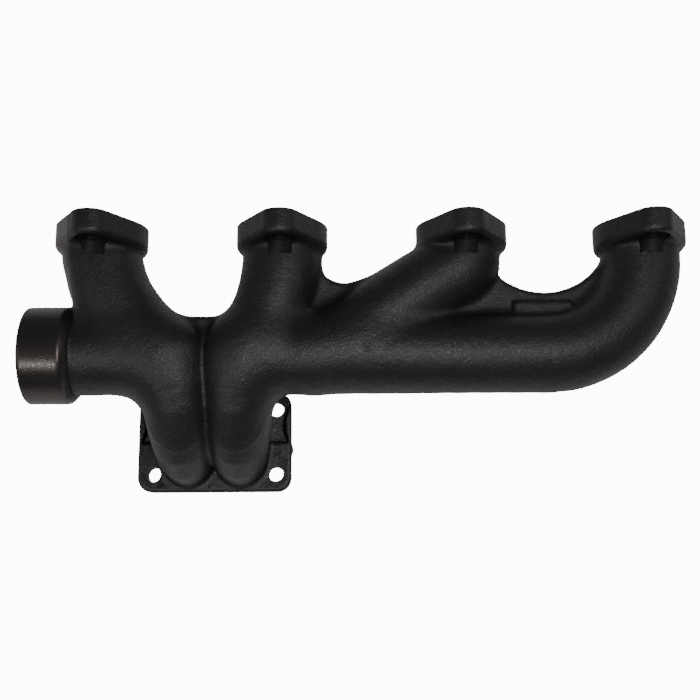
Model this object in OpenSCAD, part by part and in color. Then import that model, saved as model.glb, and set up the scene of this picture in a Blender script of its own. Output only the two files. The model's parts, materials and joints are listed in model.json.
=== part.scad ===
// Four-port exhaust manifold for one half of a divided turbocharger inlet.
// It is one iron casting, drawn as the regions that its pattern is built from.
// Origin: centre of the turbocharger flange's mating face. +Z points away from that face,
// +Y towards the cylinder head and +X along the engine, from port 1 to port 4.

/* [Ports] */
// Distance from one exhaust port to the next
port_pitch = 127; // [122:1:132]
// X of the first port, measured from the turbocharger flange's centre
first_port_x = -76; // [-78:1:-74]
// Y of the plane that seals against the cylinder head
port_face_y = 145; // [143:1:148]
// Height of the port axes above the turbocharger flange's face
port_axis_z = 67; // [65:1:70]
// Radius of the gas passage at each port
port_bore_r = 20; // [18:0.5:20.5]
// Thickness of each port flange
port_flange_t = 17; // [15:1:18]
// Half width of each port flange along the engine
port_flange_half_w = 32; // [31:0.5:33]

/* [Studs] */
// Distance from the port axis to each stud hole
stud_offset = 33; // [32.5:0.5:34]
// Radius of each stud hole
stud_hole_r = 5.5; // [4.5:0.5:6]
// Radius of the flange's ends around the stud holes
stud_boss_r = 13.5; // [12.5:0.5:14.5]
// Radius of the spot face under each stud nut
spot_face_r = 10.5; // [9:0.5:11]
// Length of the clearance that the spot face cuts in the runner's root
spot_face_run = 9; // [6:1:11]

/* [Tubes] */
// Outer radius of the runners
runner_r = 27; // [26:0.5:27.5]
// Radius of the gas passage inside each runner
runner_bore_r = 20.5; // [20:0.5:21]
// Outer radius of the log
log_r = 28; // [28:0.5:29]
// Radius of the gas passage in the log
log_bore_r = 21; // [20.5:0.5:22]
// Y of the log's axis
log_y = 54; // [53:0.5:55]
// Slope of runner 1 as it meets the log
runner_1_slope = 43; // [40:1:46]
// Slope of runner 3 as it meets the log
runner_3_slope = 32; // [31:1:34]

/* [Slip joint] */
// Outer radius of the slip socket
socket_r = 33.5; // [32:0.5:35]
// Radius of the socket's bore
socket_bore_r = 26; // [25:0.5:26.5]
// Depth of the socket's bore
socket_bore_depth = 30; // [24:1:31]
// X of the socket's mouth
socket_mouth_x = -122.5; // [-125:0.5:-121]
// Length of the socket outside its shoulder
socket_length = 33; // [32:0.5:35]

/* [Turbocharger flange] */
// Length of the flange along the engine
turbo_length = 112; // [110:1:116]
// Width of the flange
turbo_width = 74; // [72:1:78]
// Thickness of the flange
turbo_t = 16; // [14:1:18]
// Radius of the flange's corners
turbo_corner_r = 11; // [8:0.5:12]
// Spacing of the bolt holes along the engine
turbo_bolt_x = 89; // [87:0.5:90]
// Spacing of the bolt holes across the engine
turbo_bolt_y = 48; // [46:0.5:49]
// Radius of the bolt holes
turbo_hole_r = 5.5; // [4.5:0.5:6]

/* [Risers] */
// X of each riser's centre from the flange's centre
riser_x = 19; // [18.5:0.5:20]
// Width of each gas passage at the turbocharger
inlet_w = 27; // [24:1:27]
// Length of each gas passage at the turbocharger
inlet_l = 54; // [50:1:56]
// Wall around each gas passage
riser_wall = 6; // [5.5:0.5:6.5]
// Thickness of the wall that stands between the two risers
divider_t = 6; // [5:0.5:8]

/* [Webs] */
// Thickness of the stiffening webs between the runners
web_t = 10; // [8:1:12]
// Height of the flat pad above the rear web
pad_rise = 4; // [2:0.5:5]

/* [Hidden] */
$fn = 96;
// Gap that cutting solids run past the faces they cut
past = 1;
// Roundness of shapes that are joined by a hull
hull_fn = 32;

port_x = [for (i = [0 : 3]) first_port_x + i * port_pitch];
flange_back_y = port_face_y - port_flange_t;
half_divider = divider_t / 2;
// Each gas passage stops this far short of the divider's face
end_wall = 3;

// X of the face between the socket's shoulder, the neck and the front log
socket_shoulder_x = socket_mouth_x + socket_length;
neck_length = 30;
neck_end_x = socket_shoulder_x + neck_length;
socket_chamfer = 5;

// Runner 1: a mitred knee below port 1, then a straight run that dies inside the log
runner_1_knee = [port_x[0], port_face_y - 41];

// Runner 4: a quarter turn from the log's end up to port 4
runner_4_bend = flange_back_y - log_y;
log_end_x = port_x[3] - runner_4_bend;

// Runner 3: a mitred knee below port 3, then a straight run that dies inside the log
runner_3_knee = [port_x[2], port_face_y - 33];
// How far above the log's axis the runs of runners 1 and 3 stop
run_rise = 3;
// Difference between the radii of the ball and the pipes at a knee
knee_step = 0.5;

// Runner 2 leans a little towards the turbocharger
runner_2_lean = 7;
runner_2_foot_x = port_x[1] - (flange_back_y - log_y) * tan(runner_2_lean);
runner_2_run = (flange_back_y - log_y) / cos(runner_2_lean);

// Rear web: its free edge is an arc about a point just past the port face
web_arc_r = 51;
web_arc_y = port_face_y + 3;
pad_length = 41;
pad_width = 12;

// Riser sections: where the passage turns from the log towards the flange
knee_y = 15;
knee_z = 50;
knee_tilt = 45;

iron = [0.13, 0.13, 0.135];
worked = [0.32, 0.31, 0.30];

// Turns a solid drawn along +Z so that it lies along +Y
module along_y() {
    rotate([-90, 0, 0]) children();
}

// Turns a solid drawn along +Z so that it lies along +X
module along_x() {
    rotate([0, 90, 0]) children();
}

// Flat ring, or a disc when the inner radius is 0
module ring(outer, inner) {
    difference() {
        circle(outer);
        if (inner > 0) circle(inner);
    }
}

// Straight tube along +Z
module tube(outer, inner, length) {
    linear_extrude(length) ring(outer, inner);
}

// Part of a torus about Z, from angle start to start + turn
module bend(centre, radius, outer, inner, start, turn) {
    translate([centre[0], centre[1], port_axis_z])
        rotate([0, 0, start])
            rotate_extrude(angle = turn)
                translate([radius, 0]) ring(outer, inner);
}

// Tube in the plane of the port axes, from a point in a heading measured from +X
module straight(from, heading, outer, inner, length) {
    translate([from[0], from[1], port_axis_z])
        rotate([0, 0, heading])
            along_x() tube(outer, inner, length);
}

// Solid cylinder along the log's axis
module log_bar(radius, from_x, to_x) {
    translate([from_x, log_y, port_axis_z])
        along_x() cylinder(r = radius, h = to_x - from_x);
}

// Clearance for the stud nuts behind the flange of one port
module stud_seats(x) {
    for (side = [-1, 1])
        translate([x, flange_back_y - spot_face_run, port_axis_z + side * stud_offset])
            along_y() cylinder(r = spot_face_r, h = spot_face_run + past);
}

module port_flange(x) {
    color(worked) difference() {
        translate([x, flange_back_y, port_axis_z])
            along_y() linear_extrude(port_flange_t) hull() {
                circle(port_flange_half_w);
                for (side = [-1, 1])
                    translate([0, side * stud_offset]) circle(stud_boss_r);
            }
        translate([x, flange_back_y - past, port_axis_z])
            along_y() cylinder(r = port_bore_r, h = port_flange_t + 2 * past);
        for (side = [-1, 1])
            translate([x, flange_back_y - past, port_axis_z + side * stud_offset])
                along_y() cylinder(r = stud_hole_r, h = port_flange_t + 2 * past);
        stud_seats(x);
    }
}

// Solid pipe of any radius: down from a flange to a ball at its knee, then along a heading into the log.
// The three radii differ a little, so that no two surfaces meet along a tangent.
module knee_pipe(knee, heading, radius) {
    run = (knee[1] - log_y - run_rise) / abs(sin(heading));
    straight(knee, 90, radius, 0, flange_back_y - knee[1]);
    difference() {
        union() {
            translate([knee[0], knee[1], port_axis_z]) rotate([90, 0, 0]) sphere(radius + knee_step);
            straight(knee, heading, radius - knee_step, 0, run);
        }
        translate([knee[0] - port_pitch / 2, flange_back_y, 0])
            cube([port_pitch, port_flange_t, 2 * port_axis_z]);
    }
}

// Runner 1 as a solid of any radius
module runner_1_solid(radius) {
    knee_pipe(runner_1_knee, -runner_1_slope, radius);
}

// Runner 2, drawn with any outer and inner radius, down to the log's axis
module runner_2_shape(outer, inner) {
    straight([runner_2_foot_x, log_y], 90 - runner_2_lean, outer, inner, runner_2_run);
}

// Runner 3 as a solid of any radius
module runner_3_solid(radius) {
    knee_pipe(runner_3_knee, runner_3_slope - 180, radius);
}

// Runner 4, drawn with any outer and inner radius
module runner_4_shape(outer, inner) {
    bend([log_end_x, flange_back_y], runner_4_bend, outer, inner, -90, 90);
}

module runner_1() {
    color(iron) difference() {
        runner_1_solid(runner_r);
        runner_1_solid(runner_bore_r);
        log_bar(log_r, socket_shoulder_x - past, -half_divider);
        socket_solid();
        stud_seats(port_x[0]);
    }
}

module runner_2() {
    color(iron) difference() {
        runner_2_shape(runner_r, runner_bore_r);
        log_bar(log_r, -past, log_end_x);
        translate([0, flange_back_y, 0]) cube([port_pitch, port_flange_t, 2 * port_axis_z]);
        stud_seats(port_x[1]);
    }
}

module runner_3() {
    color(iron) difference() {
        runner_3_solid(runner_r);
        runner_3_solid(runner_bore_r);
        log_bar(log_r, -past, log_end_x);
        stud_seats(port_x[2]);
    }
}

module runner_4() {
    color(iron) difference() {
        runner_4_shape(runner_r, runner_bore_r);
        stud_seats(port_x[3]);
    }
}

// Outside of the slip socket, with the slope at its shoulder
module socket_solid() {
    translate([socket_mouth_x, log_y, port_axis_z]) along_x() {
        cylinder(r = socket_r, h = socket_length - socket_chamfer);
        translate([0, 0, socket_length - socket_chamfer])
            cylinder(r1 = socket_r, r2 = log_r, h = socket_chamfer);
    }
}

module slip_socket() {
    color(iron) difference() {
        socket_solid();
        log_bar(socket_bore_r, socket_mouth_x - past, socket_mouth_x + socket_bore_depth);
        log_bar(log_bore_r, socket_mouth_x, socket_shoulder_x + past);
    }
}

module socket_neck() {
    color(iron) difference() {
        log_bar(log_r, socket_shoulder_x, neck_end_x);
        log_bar(log_bore_r, socket_shoulder_x - past, neck_end_x + past);
        runner_1_solid(runner_bore_r);
    }
}

module front_log() {
    color(iron) difference() {
        log_bar(log_r, neck_end_x, -half_divider);
        log_bar(log_bore_r, neck_end_x - past, -half_divider - end_wall);
        runner_1_solid(runner_bore_r);
        riser_solid(-riser_x, 0);
    }
}

module rear_log() {
    color(iron) difference() {
        log_bar(log_r, half_divider, log_end_x);
        log_bar(log_bore_r, half_divider + end_wall, log_end_x + past);
        runner_2_shape(runner_bore_r, 0);
        runner_3_solid(runner_bore_r);
        riser_solid(riser_x, 0);
    }
}

// Section of a riser: an obround plate, long across its own Y
module riser_plate(width, length) {
    linear_extrude(past) hull() {
        for (side = [-1, 1])
            translate([0, side * (length - width) / 2]) circle(width / 2, $fn = hull_fn);
    }
}

// Riser at a place along X, as solid iron or, with a wall of 0, as its gas passage
module riser_solid(x, wall) {
    low = wall > 0 ? turbo_t : turbo_t - past;
    hull() {
        translate([x, log_y, port_axis_z])
            along_y() cylinder(r = inlet_w / 2 + wall + past, h = past, $fn = hull_fn);
        translate([x, knee_y, knee_z])
            rotate([-knee_tilt, 0, 0]) riser_plate(inlet_w + 2 * wall, inlet_l - 8 + 2 * wall);
    }
    hull() {
        translate([x, knee_y, knee_z])
            rotate([-knee_tilt, 0, 0]) riser_plate(inlet_w + 2 * wall, inlet_l - 8 + 2 * wall);
        translate([x, 0, low]) riser_plate(inlet_w + 2 * wall, inlet_l + 2 * wall);
    }
}

// Riser on one side of the divider
module riser(side) {
    color(iron) difference() {
        riser_solid(side * riser_x, riser_wall);
        riser_solid(side * riser_x, 0);
        log_bar(log_r, -riser_x * 4, riser_x * 4);
        translate([side > 0 ? half_divider - turbo_length : -half_divider, -turbo_length, -past])
            cube([turbo_length, 2 * turbo_length, 2 * turbo_length]);
    }
}

module divider_wall() {
    color(iron) translate([-half_divider, 0, 0]) rotate([90, 0, 90]) linear_extrude(divider_t) {
        hull() {
            translate([log_y, port_axis_z]) circle(log_r - past, $fn = hull_fn);
            translate([knee_y - 8, knee_z - 8]) circle(log_r - 6, $fn = hull_fn);
        }
        hull() {
            translate([knee_y - 8, knee_z - 8]) circle(log_r - 6, $fn = hull_fn);
            translate([-inlet_l / 2, turbo_t]) square([inlet_l, past]);
        }
    }
}

module turbo_flange() {
    inset = [turbo_length / 2 - turbo_corner_r, turbo_width / 2 - turbo_corner_r];
    color(worked) difference() {
        linear_extrude(turbo_t) hull() {
            for (sx = [-1, 1], sy = [-1, 1])
                translate([sx * inset[0], sy * inset[1]]) circle(turbo_corner_r);
        }
        for (sx = [-1, 1], sy = [-1, 1])
            translate([sx * turbo_bolt_x / 2, sy * turbo_bolt_y / 2, -past])
                cylinder(r = turbo_hole_r, h = turbo_t + 2 * past);
        for (side = [-1, 1])
            translate([side * riser_x, 0, -past]) linear_extrude(turbo_t + 2 * past) hull() {
                for (end = [-1, 1])
                    translate([0, end * (inlet_l - inlet_w) / 2]) circle(inlet_w / 2, $fn = hull_fn);
            }
    }
}

module web_2_3() {
    color(iron) difference() {
        translate([port_x[1], log_y, port_axis_z - web_t / 2])
            cube([76, port_face_y - 37 - log_y, web_t]);
        runner_2_shape(runner_r, 0);
        runner_3_solid(runner_r);
        log_bar(log_r, -past, log_end_x);
    }
}

module web_3_4() {
    color(iron) difference() {
        translate([port_x[2], log_y + log_bore_r, port_axis_z - web_t / 2])
            cube([port_x[3] - port_x[2] - runner_r, 35, web_t]);
        translate([log_end_x, web_arc_y, 0]) cylinder(r = web_arc_r, h = 2 * port_axis_z);
        runner_3_solid(runner_r);
        runner_4_shape(runner_r, 0);
        log_bar(log_r, -past, log_end_x + past);
    }
}

module web_pad() {
    color(iron) difference() {
        translate([log_end_x - pad_length / 2, log_y + log_r - pad_width / 2, port_axis_z + web_t / 2])
            cube([pad_length, pad_width, pad_rise]);
        log_bar(log_r, -past, log_end_x + past);
        runner_4_shape(runner_r, 0);
    }
}

port_flange(port_x[0]);  // port_flange_1
port_flange(port_x[1]);  // port_flange_2
port_flange(port_x[2]);  // port_flange_3
port_flange(port_x[3]);  // port_flange_4
runner_1();
runner_2();
runner_3();
runner_4();
slip_socket();
socket_neck();
front_log();
rear_log();
riser(-1);  // front_riser
riser(1);  // rear_riser
divider_wall();
turbo_flange();
web_2_3();
web_3_4();
web_pad();
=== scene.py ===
"""A cast-iron exhaust manifold with four ports, a slip socket and twin risers.

The iron is shaped as one blended body: pipes, lobes, plates and webs flow into each other with
foundry fillets, and cored passages run through it. The sealing faces, holes and bores are then
cut sharp, and the body is divided into the regions that its pattern is built from.
Lengths in this file are millimetres. Those of properties, lamps and the camera's place are metres.
"""

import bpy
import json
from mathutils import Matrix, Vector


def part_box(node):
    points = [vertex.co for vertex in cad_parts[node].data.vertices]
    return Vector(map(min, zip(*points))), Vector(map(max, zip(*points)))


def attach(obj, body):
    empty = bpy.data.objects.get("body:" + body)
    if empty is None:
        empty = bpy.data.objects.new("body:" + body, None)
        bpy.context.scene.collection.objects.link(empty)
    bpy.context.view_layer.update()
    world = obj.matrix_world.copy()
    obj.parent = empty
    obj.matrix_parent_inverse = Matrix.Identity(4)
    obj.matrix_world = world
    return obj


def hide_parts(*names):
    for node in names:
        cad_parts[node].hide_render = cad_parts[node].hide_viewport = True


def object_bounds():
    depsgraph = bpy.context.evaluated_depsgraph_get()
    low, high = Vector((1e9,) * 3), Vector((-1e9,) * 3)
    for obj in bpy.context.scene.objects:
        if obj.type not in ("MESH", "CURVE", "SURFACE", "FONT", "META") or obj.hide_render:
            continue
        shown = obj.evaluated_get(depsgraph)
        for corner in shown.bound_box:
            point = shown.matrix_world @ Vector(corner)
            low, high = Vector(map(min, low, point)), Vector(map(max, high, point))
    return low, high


bl_info = {
    "name": "Cast Exhaust Manifold",
    "version": (1, 0, 0),
    "blender": (4, 5, 0),
    "location": "View3D > Sidebar > Manifold",
    "description": "Shapes, machines and finishes a cast-iron exhaust manifold",
    "category": "Object",
}

import json
import math

import bpy
import numpy as np
from bpy.props import FloatProperty, FloatVectorProperty, PointerProperty
from mathutils import Matrix, Vector

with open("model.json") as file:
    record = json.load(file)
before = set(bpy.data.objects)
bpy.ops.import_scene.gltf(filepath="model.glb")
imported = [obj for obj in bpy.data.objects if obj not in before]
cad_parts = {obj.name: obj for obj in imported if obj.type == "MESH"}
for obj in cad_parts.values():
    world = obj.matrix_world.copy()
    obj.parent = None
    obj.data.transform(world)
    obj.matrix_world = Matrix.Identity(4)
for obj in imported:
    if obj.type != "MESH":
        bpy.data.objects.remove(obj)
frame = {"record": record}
CAD_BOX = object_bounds()

MM = 0.001
ROOT = "root"
WHOLE = "whole casting"
FAR = 1.0e3
SKIN, WORKED, COLLAR = range(3)  # material slots of the casting


def box_mm(node):
    """Lowest and highest corners of a CAD node, in millimetres."""
    low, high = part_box(node)
    return np.array(low) / MM, np.array(high) / MM


def middle(node):
    """Centre of a CAD node's box."""
    low, high = box_mm(node)
    return (low + high) / 2


def mount(name):
    """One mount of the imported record."""
    return next(m for m in frame["record"]["mounts"] if m["name"] == name)


# Places taken from the frame
PORTS = [middle(f"port_flange_{i}") for i in (1, 2, 3, 4)]
FLANGE_BACK_Y, PORT_FACE_Y = (box_mm("port_flange_1")[k][1] for k in (0, 1))
PORT_PITCH = PORTS[1][0] - PORTS[0][0]
FLANGE_HALF_W = (box_mm("port_flange_1")[1][0] - box_mm("port_flange_1")[0][0]) / 2
FLANGE_HALF_H = (box_mm("port_flange_1")[1][2] - box_mm("port_flange_1")[0][2]) / 2
AXIS_Z = PORTS[0][2]
LOG_Y = middle("rear_log")[1]
LOG_END_X = box_mm("rear_log")[1][0]
SOCKET_LOW, SOCKET_HIGH = box_mm("slip_socket")
SOCKET_R = (SOCKET_HIGH[2] - SOCKET_LOW[2]) / 2
NECK_END_X = box_mm("socket_neck")[1][0]
TURBO_LOW, TURBO_HIGH = box_mm("turbo_flange")
TURBO_T = TURBO_HIGH[2]
DIVIDER_X = box_mm("divider_wall")[1][0]
RISER_X = 19.0
SPARE = 5.0  # iron left on the sealing faces for machining
SPOT_FACE_R = 10.5
SPOT_FACE_REACH = 9.0  # cleared in front of the port flanges' backs
SPOT_FACE_SINK = 1.5  # cut into the port flanges
STUDS = mount("port_1_studs")["dims"]
TURBO_BOLTS = mount("turbo_bolts")["dims"]
SLIP = mount("slip_joint")["dims"]


# ---------------------------------------------------------------- settings

class ManifoldCasting(bpy.types.PropertyGroup):
    """Sizes of the casting that a user would change."""

    grain: FloatProperty(
        name="Mesh Size", description="Spacing of the grid that the iron is shaped on",
        default=1.4 * MM, min=0.8 * MM, max=3 * MM, unit="LENGTH", precision=4,
    )
    pipe_radius: FloatProperty(
        name="Pipe Radius", description="Outer radius of the runners and the log",
        default=27.3 * MM, min=25 * MM, max=29 * MM, unit="LENGTH", precision=4,
    )
    wall: FloatProperty(
        name="Wall", description="Thickness of the iron around the gas passages",
        default=7 * MM, min=5 * MM, max=9 * MM, unit="LENGTH", precision=4,
    )
    fillet: FloatProperty(
        name="Fillet", description="Softness of the joins between pipes",
        default=13 * MM, min=4 * MM, max=20 * MM, unit="LENGTH", precision=4,
    )
    web: FloatProperty(
        name="Web", description="Thickness of the webs between the runners",
        default=11 * MM, min=6 * MM, max=14 * MM, unit="LENGTH", precision=4,
    )
    unevenness: FloatProperty(
        name="Unevenness", description="How far the cast skin wanders from its true shape",
        default=0.3 * MM, min=0.0, max=1 * MM, unit="LENGTH", precision=4,
    )


class ManifoldFinish(bpy.types.PropertyGroup):
    """Colours and grain of the iron."""

    skin_color: FloatVectorProperty(
        name="Skin", description="Coated cast skin", subtype="COLOR", size=3,
        default=(0.0130, 0.0128, 0.0150), min=0.0, max=1.0,
    )
    worked_color: FloatVectorProperty(
        name="Worked Iron", description="Coated iron where it has been machined", subtype="COLOR",
        size=3, default=(0.030, 0.027, 0.026), min=0.0, max=1.0,
    )
    collar_color: FloatVectorProperty(
        name="Collar", description="Smoother coat on the slip socket's outside", subtype="COLOR",
        size=3, default=(0.015, 0.0135, 0.0135), min=0.0, max=1.0,
    )
    grain_depth: FloatProperty(
        name="Grain Depth", description="Height of the sand grain in the skin",
        default=0.6 * MM, min=0.0, max=2 * MM, unit="LENGTH", precision=5,
    )


class ManifoldStage(bpy.types.PropertyGroup):
    """The floor, the lights and the camera."""

    lens: FloatProperty(
        name="Lens", description="Focal length of the camera in millimetres",
        default=50.4, min=20, max=120,
    )
    floor_color: FloatVectorProperty(
        name="Floor", description="Colour of the floor", subtype="COLOR", size=3,
        default=(0.93, 0.93, 0.93), min=0.0, max=1.0,
    )
    key_power: FloatProperty(
        name="Key", description="Power of the main soft light in watts",
        default=2.15, min=0.0, max=500.0,
    )
    fill_power: FloatProperty(
        name="Fill", description="Power of each side light in watts",
        default=0.8, min=0.0, max=500.0,
    )


# Emission that the camera sees on floor and world, and what the part gets of each
GLOW_TO_CAMERA = 12.0
FLOOR_GLOW = 0.07
WORLD_GLOW = 0.10
# The camera's place, and where its right and its top point
CAMERA_PLACE = (0.0873, -0.0787, 0.7334)
CAMERA_RIGHT = (0.99985, -0.00823, 0.01499)
CAMERA_UP = (0.00507, 0.97981, 0.19986)


# ---------------------------------------------------------------- distance fields
# A field gives, for each point, the distance to a surface: negative inside, positive outside.

def soft_min(a, b, k):
    """Joins two fields with a fillet of softness k."""
    h = np.clip(0.5 + 0.5 * (b - a) / k, 0.0, 1.0)
    return b + (a - b) * h - k * h * (1.0 - h)


def soft_max(a, b, k):
    """Keeps what two fields share, with a rounded edge."""
    return -soft_min(-a, -b, k)


def smooth_route(points, per_span=5):
    """Points of a Catmull-Rom curve through rows of x, y, z and radius."""
    p = np.array(points, float)
    p = np.vstack([2 * p[0] - p[1], p, 2 * p[-1] - p[-2]])
    out = []
    for i in range(1, len(p) - 2):
        for t in np.arange(per_span) / per_span:
            a, b, c, d = p[i - 1 : i + 3]
            out.append(
                0.5 * (2 * b + (c - a) * t + (2 * a - 5 * b + 4 * c - d) * t**2
                       + (3 * b - a - 3 * c + d) * t**3)
            )
    out.append(p[-2])
    return np.array(out)


def pipe(x, y, z, route, grow=0.0):
    """Field of a round pipe along a route, made fatter by grow."""
    best = np.full(np.broadcast(x, y, z).shape, FAR, np.float32)
    for a, b in zip(route[:-1], route[1:]):
        step = b[:3] - a[:3]
        rx, ry, rz = x - a[0], y - a[1], z - a[2]
        t = np.clip((rx * step[0] + ry * step[1] + rz * step[2]) / (step @ step), 0.0, 1.0)
        away = np.sqrt(
            (rx - t * step[0]) ** 2 + (ry - t * step[1]) ** 2 + (rz - t * step[2]) ** 2
        )
        np.minimum(best, away - (a[3] + t * (b[3] - a[3])) - grow, out=best)
    return best


def slab(x, y, z, low, high, rounding):
    """Field of a box between two corners, with rounded edges."""
    centre, half = (np.array(low) + high) / 2, (np.array(high) - low) / 2 - rounding
    q = [np.abs(v - centre[i]) - half[i] for i, v in enumerate((x, y, z))]
    outside = np.sqrt(sum(np.maximum(v, 0.0) ** 2 for v in q))
    return outside + np.minimum(np.maximum(np.maximum(q[0], q[1]), q[2]), 0.0) - rounding


def polygon(u, v, corners):
    """Field of a flat polygon in the plane of u and v."""
    pts = np.array(corners, float)
    best = np.full(np.broadcast(u, v).shape, FAR * FAR, np.float32)
    inside = np.zeros(best.shape, bool)
    for a, b in zip(pts, np.roll(pts, -1, axis=0)):
        e = b - a
        wu, wv = u - a[0], v - a[1]
        t = np.clip((wu * e[0] + wv * e[1]) / (e @ e), 0.0, 1.0)
        np.minimum(best, (wu - t * e[0]) ** 2 + (wv - t * e[1]) ** 2, out=best)
        if a[1] != b[1]:
            crosses = (a[1] > v) != (b[1] > v)
            inside ^= crosses & (u < e[0] * (v - a[1]) / e[1] + a[0])
    return np.where(inside, -np.sqrt(best), np.sqrt(best))


def extruded(flat, w, low, high, rounding):
    """Field of a flat shape given a thickness from low to high, with rounded edges."""
    q0 = flat + rounding
    q1 = np.abs(w - (low + high) / 2) - (high - low) / 2 + rounding
    outside = np.sqrt(np.maximum(q0, 0.0) ** 2 + np.maximum(q1, 0.0) ** 2)
    return outside + np.minimum(np.maximum(q0, q1), 0.0) - rounding


def flange_outline(u, v):
    """Flat field of a port flange: a wide middle that tapers to a round end at each stud."""
    end_r = FLANGE_HALF_H - STUDS["spacing_y_mm"] / 2
    reach = STUDS["spacing_y_mm"] / 2
    lean = (FLANGE_HALF_W - end_r) / reach
    rise = math.sqrt(1.0 - lean * lean)
    u, v = np.abs(u), np.abs(v)
    along = -lean * u + rise * v
    side = rise * u + lean * v - FLANGE_HALF_W
    return np.where(
        along < 0, np.sqrt(u * u + v * v) - FLANGE_HALF_W,
        np.where(along > rise * reach, np.sqrt(u * u + (v - reach) ** 2) - end_r, side),
    )


# ---------------------------------------------------------------- the shape of the iron

def quarter(centre, size, start_deg, end_deg, count=7):
    """Points along part of an ellipse."""
    turn = np.radians(np.linspace(start_deg, end_deg, count))
    return [(centre[0] + size[0] * math.cos(t), centre[1] + size[1] * math.sin(t)) for t in turn]


def routes(radius):
    """Centrelines of the pipes as rows of x, y, z and radius."""
    p1, p2, p3, p4 = (p[0] for p in PORTS)
    z, r = AXIS_Z, radius
    over = PORT_FACE_Y + 8
    runner_1 = [
        (p1, over, z, r), (p1, FLANGE_BACK_Y, z, r), (p1 + 2, FLANGE_BACK_Y - 10, z, r),
        (p1 + 6, LOG_Y + 50, z, r), (p1 + 12, LOG_Y + 37, z, r), (p1 + 21, LOG_Y + 24, z, r),
        (p1 + 33, LOG_Y + 9, z, r), (p1 + 45, LOG_Y - 7, z - 2, r), (p1 + 53, LOG_Y - 26, z - 8, r - 3),
        (p1 + 56, 9, z - 20, r - 6), (-RISER_X, 2, z - 37, r - 8.5),
    ]
    runner_2 = [
        (p2, over, z, r), (p2, FLANGE_BACK_Y, z, r), (p2 - 0.5, FLANGE_BACK_Y - 10, z, r),
        (p2 - 2.5, LOG_Y + 49, z, r), (p2 - 6, LOG_Y + 35, z, r), (p2 - 12, LOG_Y + 21, z, r),
        (p2 - 21, LOG_Y + 5, z, r), (p2 - 26.5, LOG_Y - 10, z - 2, r),
        (RISER_X + 2, LOG_Y - 28, z - 9, r - 3), (RISER_X + 0.5, 9, z - 20, r - 6),
        (RISER_X, 2, z - 37, r - 8.5),
    ]
    runner_3 = [
        (p3, over, z, r), (p3, FLANGE_BACK_Y + 2, z, r), (p3 - 1.5, FLANGE_BACK_Y - 8, z, r),
        (p3 - 6, FLANGE_BACK_Y - 14, z, r), (p3 - 17, LOG_Y + 53.5, z, r), (p3 - 38, LOG_Y + 40, z, r),
        (p3 - 72, LOG_Y + 17, z, r - 1), (p3 - 89, LOG_Y + 6, z, r - 2), (p3 - 105, LOG_Y, z, r - 3),
    ]
    bend_y = FLANGE_BACK_Y - 4
    bend_r = bend_y - LOG_Y
    bend_x = p4 - bend_r
    runner_4 = [(p4, over, z, r)] + [
        (bend_x + bend_r * math.cos(t), bend_y - bend_r * math.sin(t), z, r)
        for t in np.radians(np.linspace(0, 90, 8))
    ]
    log = [(LOG_END_X + 6, LOG_Y, z, r), (RISER_X + 12, LOG_Y, z, r)]
    neck = [(SOCKET_LOW[0] - 10, LOG_Y, z, r + 0.5), (p1 + 38, LOG_Y, z, r)]
    return {
        "runner_1": smooth_route(runner_1), "runner_2": smooth_route(runner_2),
        "runner_3": smooth_route(runner_3), "runner_4": smooth_route(runner_4, 3),
        "log": np.array(log), "neck": np.array(neck),
    }


def riser_side(reach_below):
    """Outline, in Y and Z, of the flat heart of a riser as it turns from the log to the flange."""
    half = 14.0
    return (
        [(-half, -reach_below)]
        + quarter((LOG_Y, TURBO_T + 2), (LOG_Y + half, 56), 180, 90)
        + quarter((LOG_Y, TURBO_T), (LOG_Y - half, 44), 90, 180)
        + [(half, -reach_below)]
    )


def riser(x, y, z, centre_x, half_w, reach_below):
    """Field of one riser: a thick rounded sheet, so that its section at the flange is an obround."""
    flat = polygon(y, z, riser_side(reach_below))
    return np.sqrt((x - centre_x) ** 2 + np.maximum(flat, 0.0) ** 2) - half_w


def socket(x, y, z):
    """Field of the slip socket's outside, with a soft rim and a sloping shoulder."""
    across = np.sqrt((y - LOG_Y) ** 2 + (z - AXIS_Z) ** 2)
    body = extruded(across - SOCKET_R, x, SOCKET_LOW[0], SOCKET_HIGH[0], 1.8)
    slope = (across - SOCKET_R + x - SOCKET_HIGH[0] + 4.5) / math.sqrt(2)
    return np.maximum(body, slope)


def web_outlines():
    """Outlines of the three webs in X and Y. Each free edge is an arc or a straight line."""
    p2, p3 = PORTS[1][0], PORTS[2][0]
    bend_x, bend_y = LOG_END_X + 4, PORT_FACE_Y + 3
    return [
        [(-30, LOG_Y + 27), (22, LOG_Y + 27), (22, LOG_Y - 12), (-30, LOG_Y - 12)],
        [(p2, LOG_Y + 20), (p2, LOG_Y + 76), (p2 + 26, LOG_Y + 76)]
        + quarter((p2 + 44, LOG_Y + 66.5), (18, 16), 175, 275)
        + [(p2 + 64, LOG_Y + 55), (p3 - 40, LOG_Y + 66), (p3 - 20, LOG_Y + 20)],
        [(p3 - 10, LOG_Y + 15), (p3 + 10, LOG_Y + 65), (p3 + 24, LOG_Y + 60)]
        + quarter((bend_x, bend_y), (50, 51), 220, 320, 11)
        + [(LOG_END_X + 62, LOG_Y + 80), (LOG_END_X + 62, LOG_Y + 15)],
    ]


def waviness(x, y, z, size):
    """Slow and quick wandering of a sand-cast skin."""
    slow = np.sin(x / 19 + 1.3) * np.sin(y / 15 + 0.4) * np.sin(z / 17 + 2.1)
    quick = np.sin(x / 3.1 + 2 * np.sin(y / 7)) * np.sin(y / 2.7 + 1.7 * np.sin(z / 6)) * np.sin(z / 3.3)
    return size * (slow + 0.35 * quick)


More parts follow.
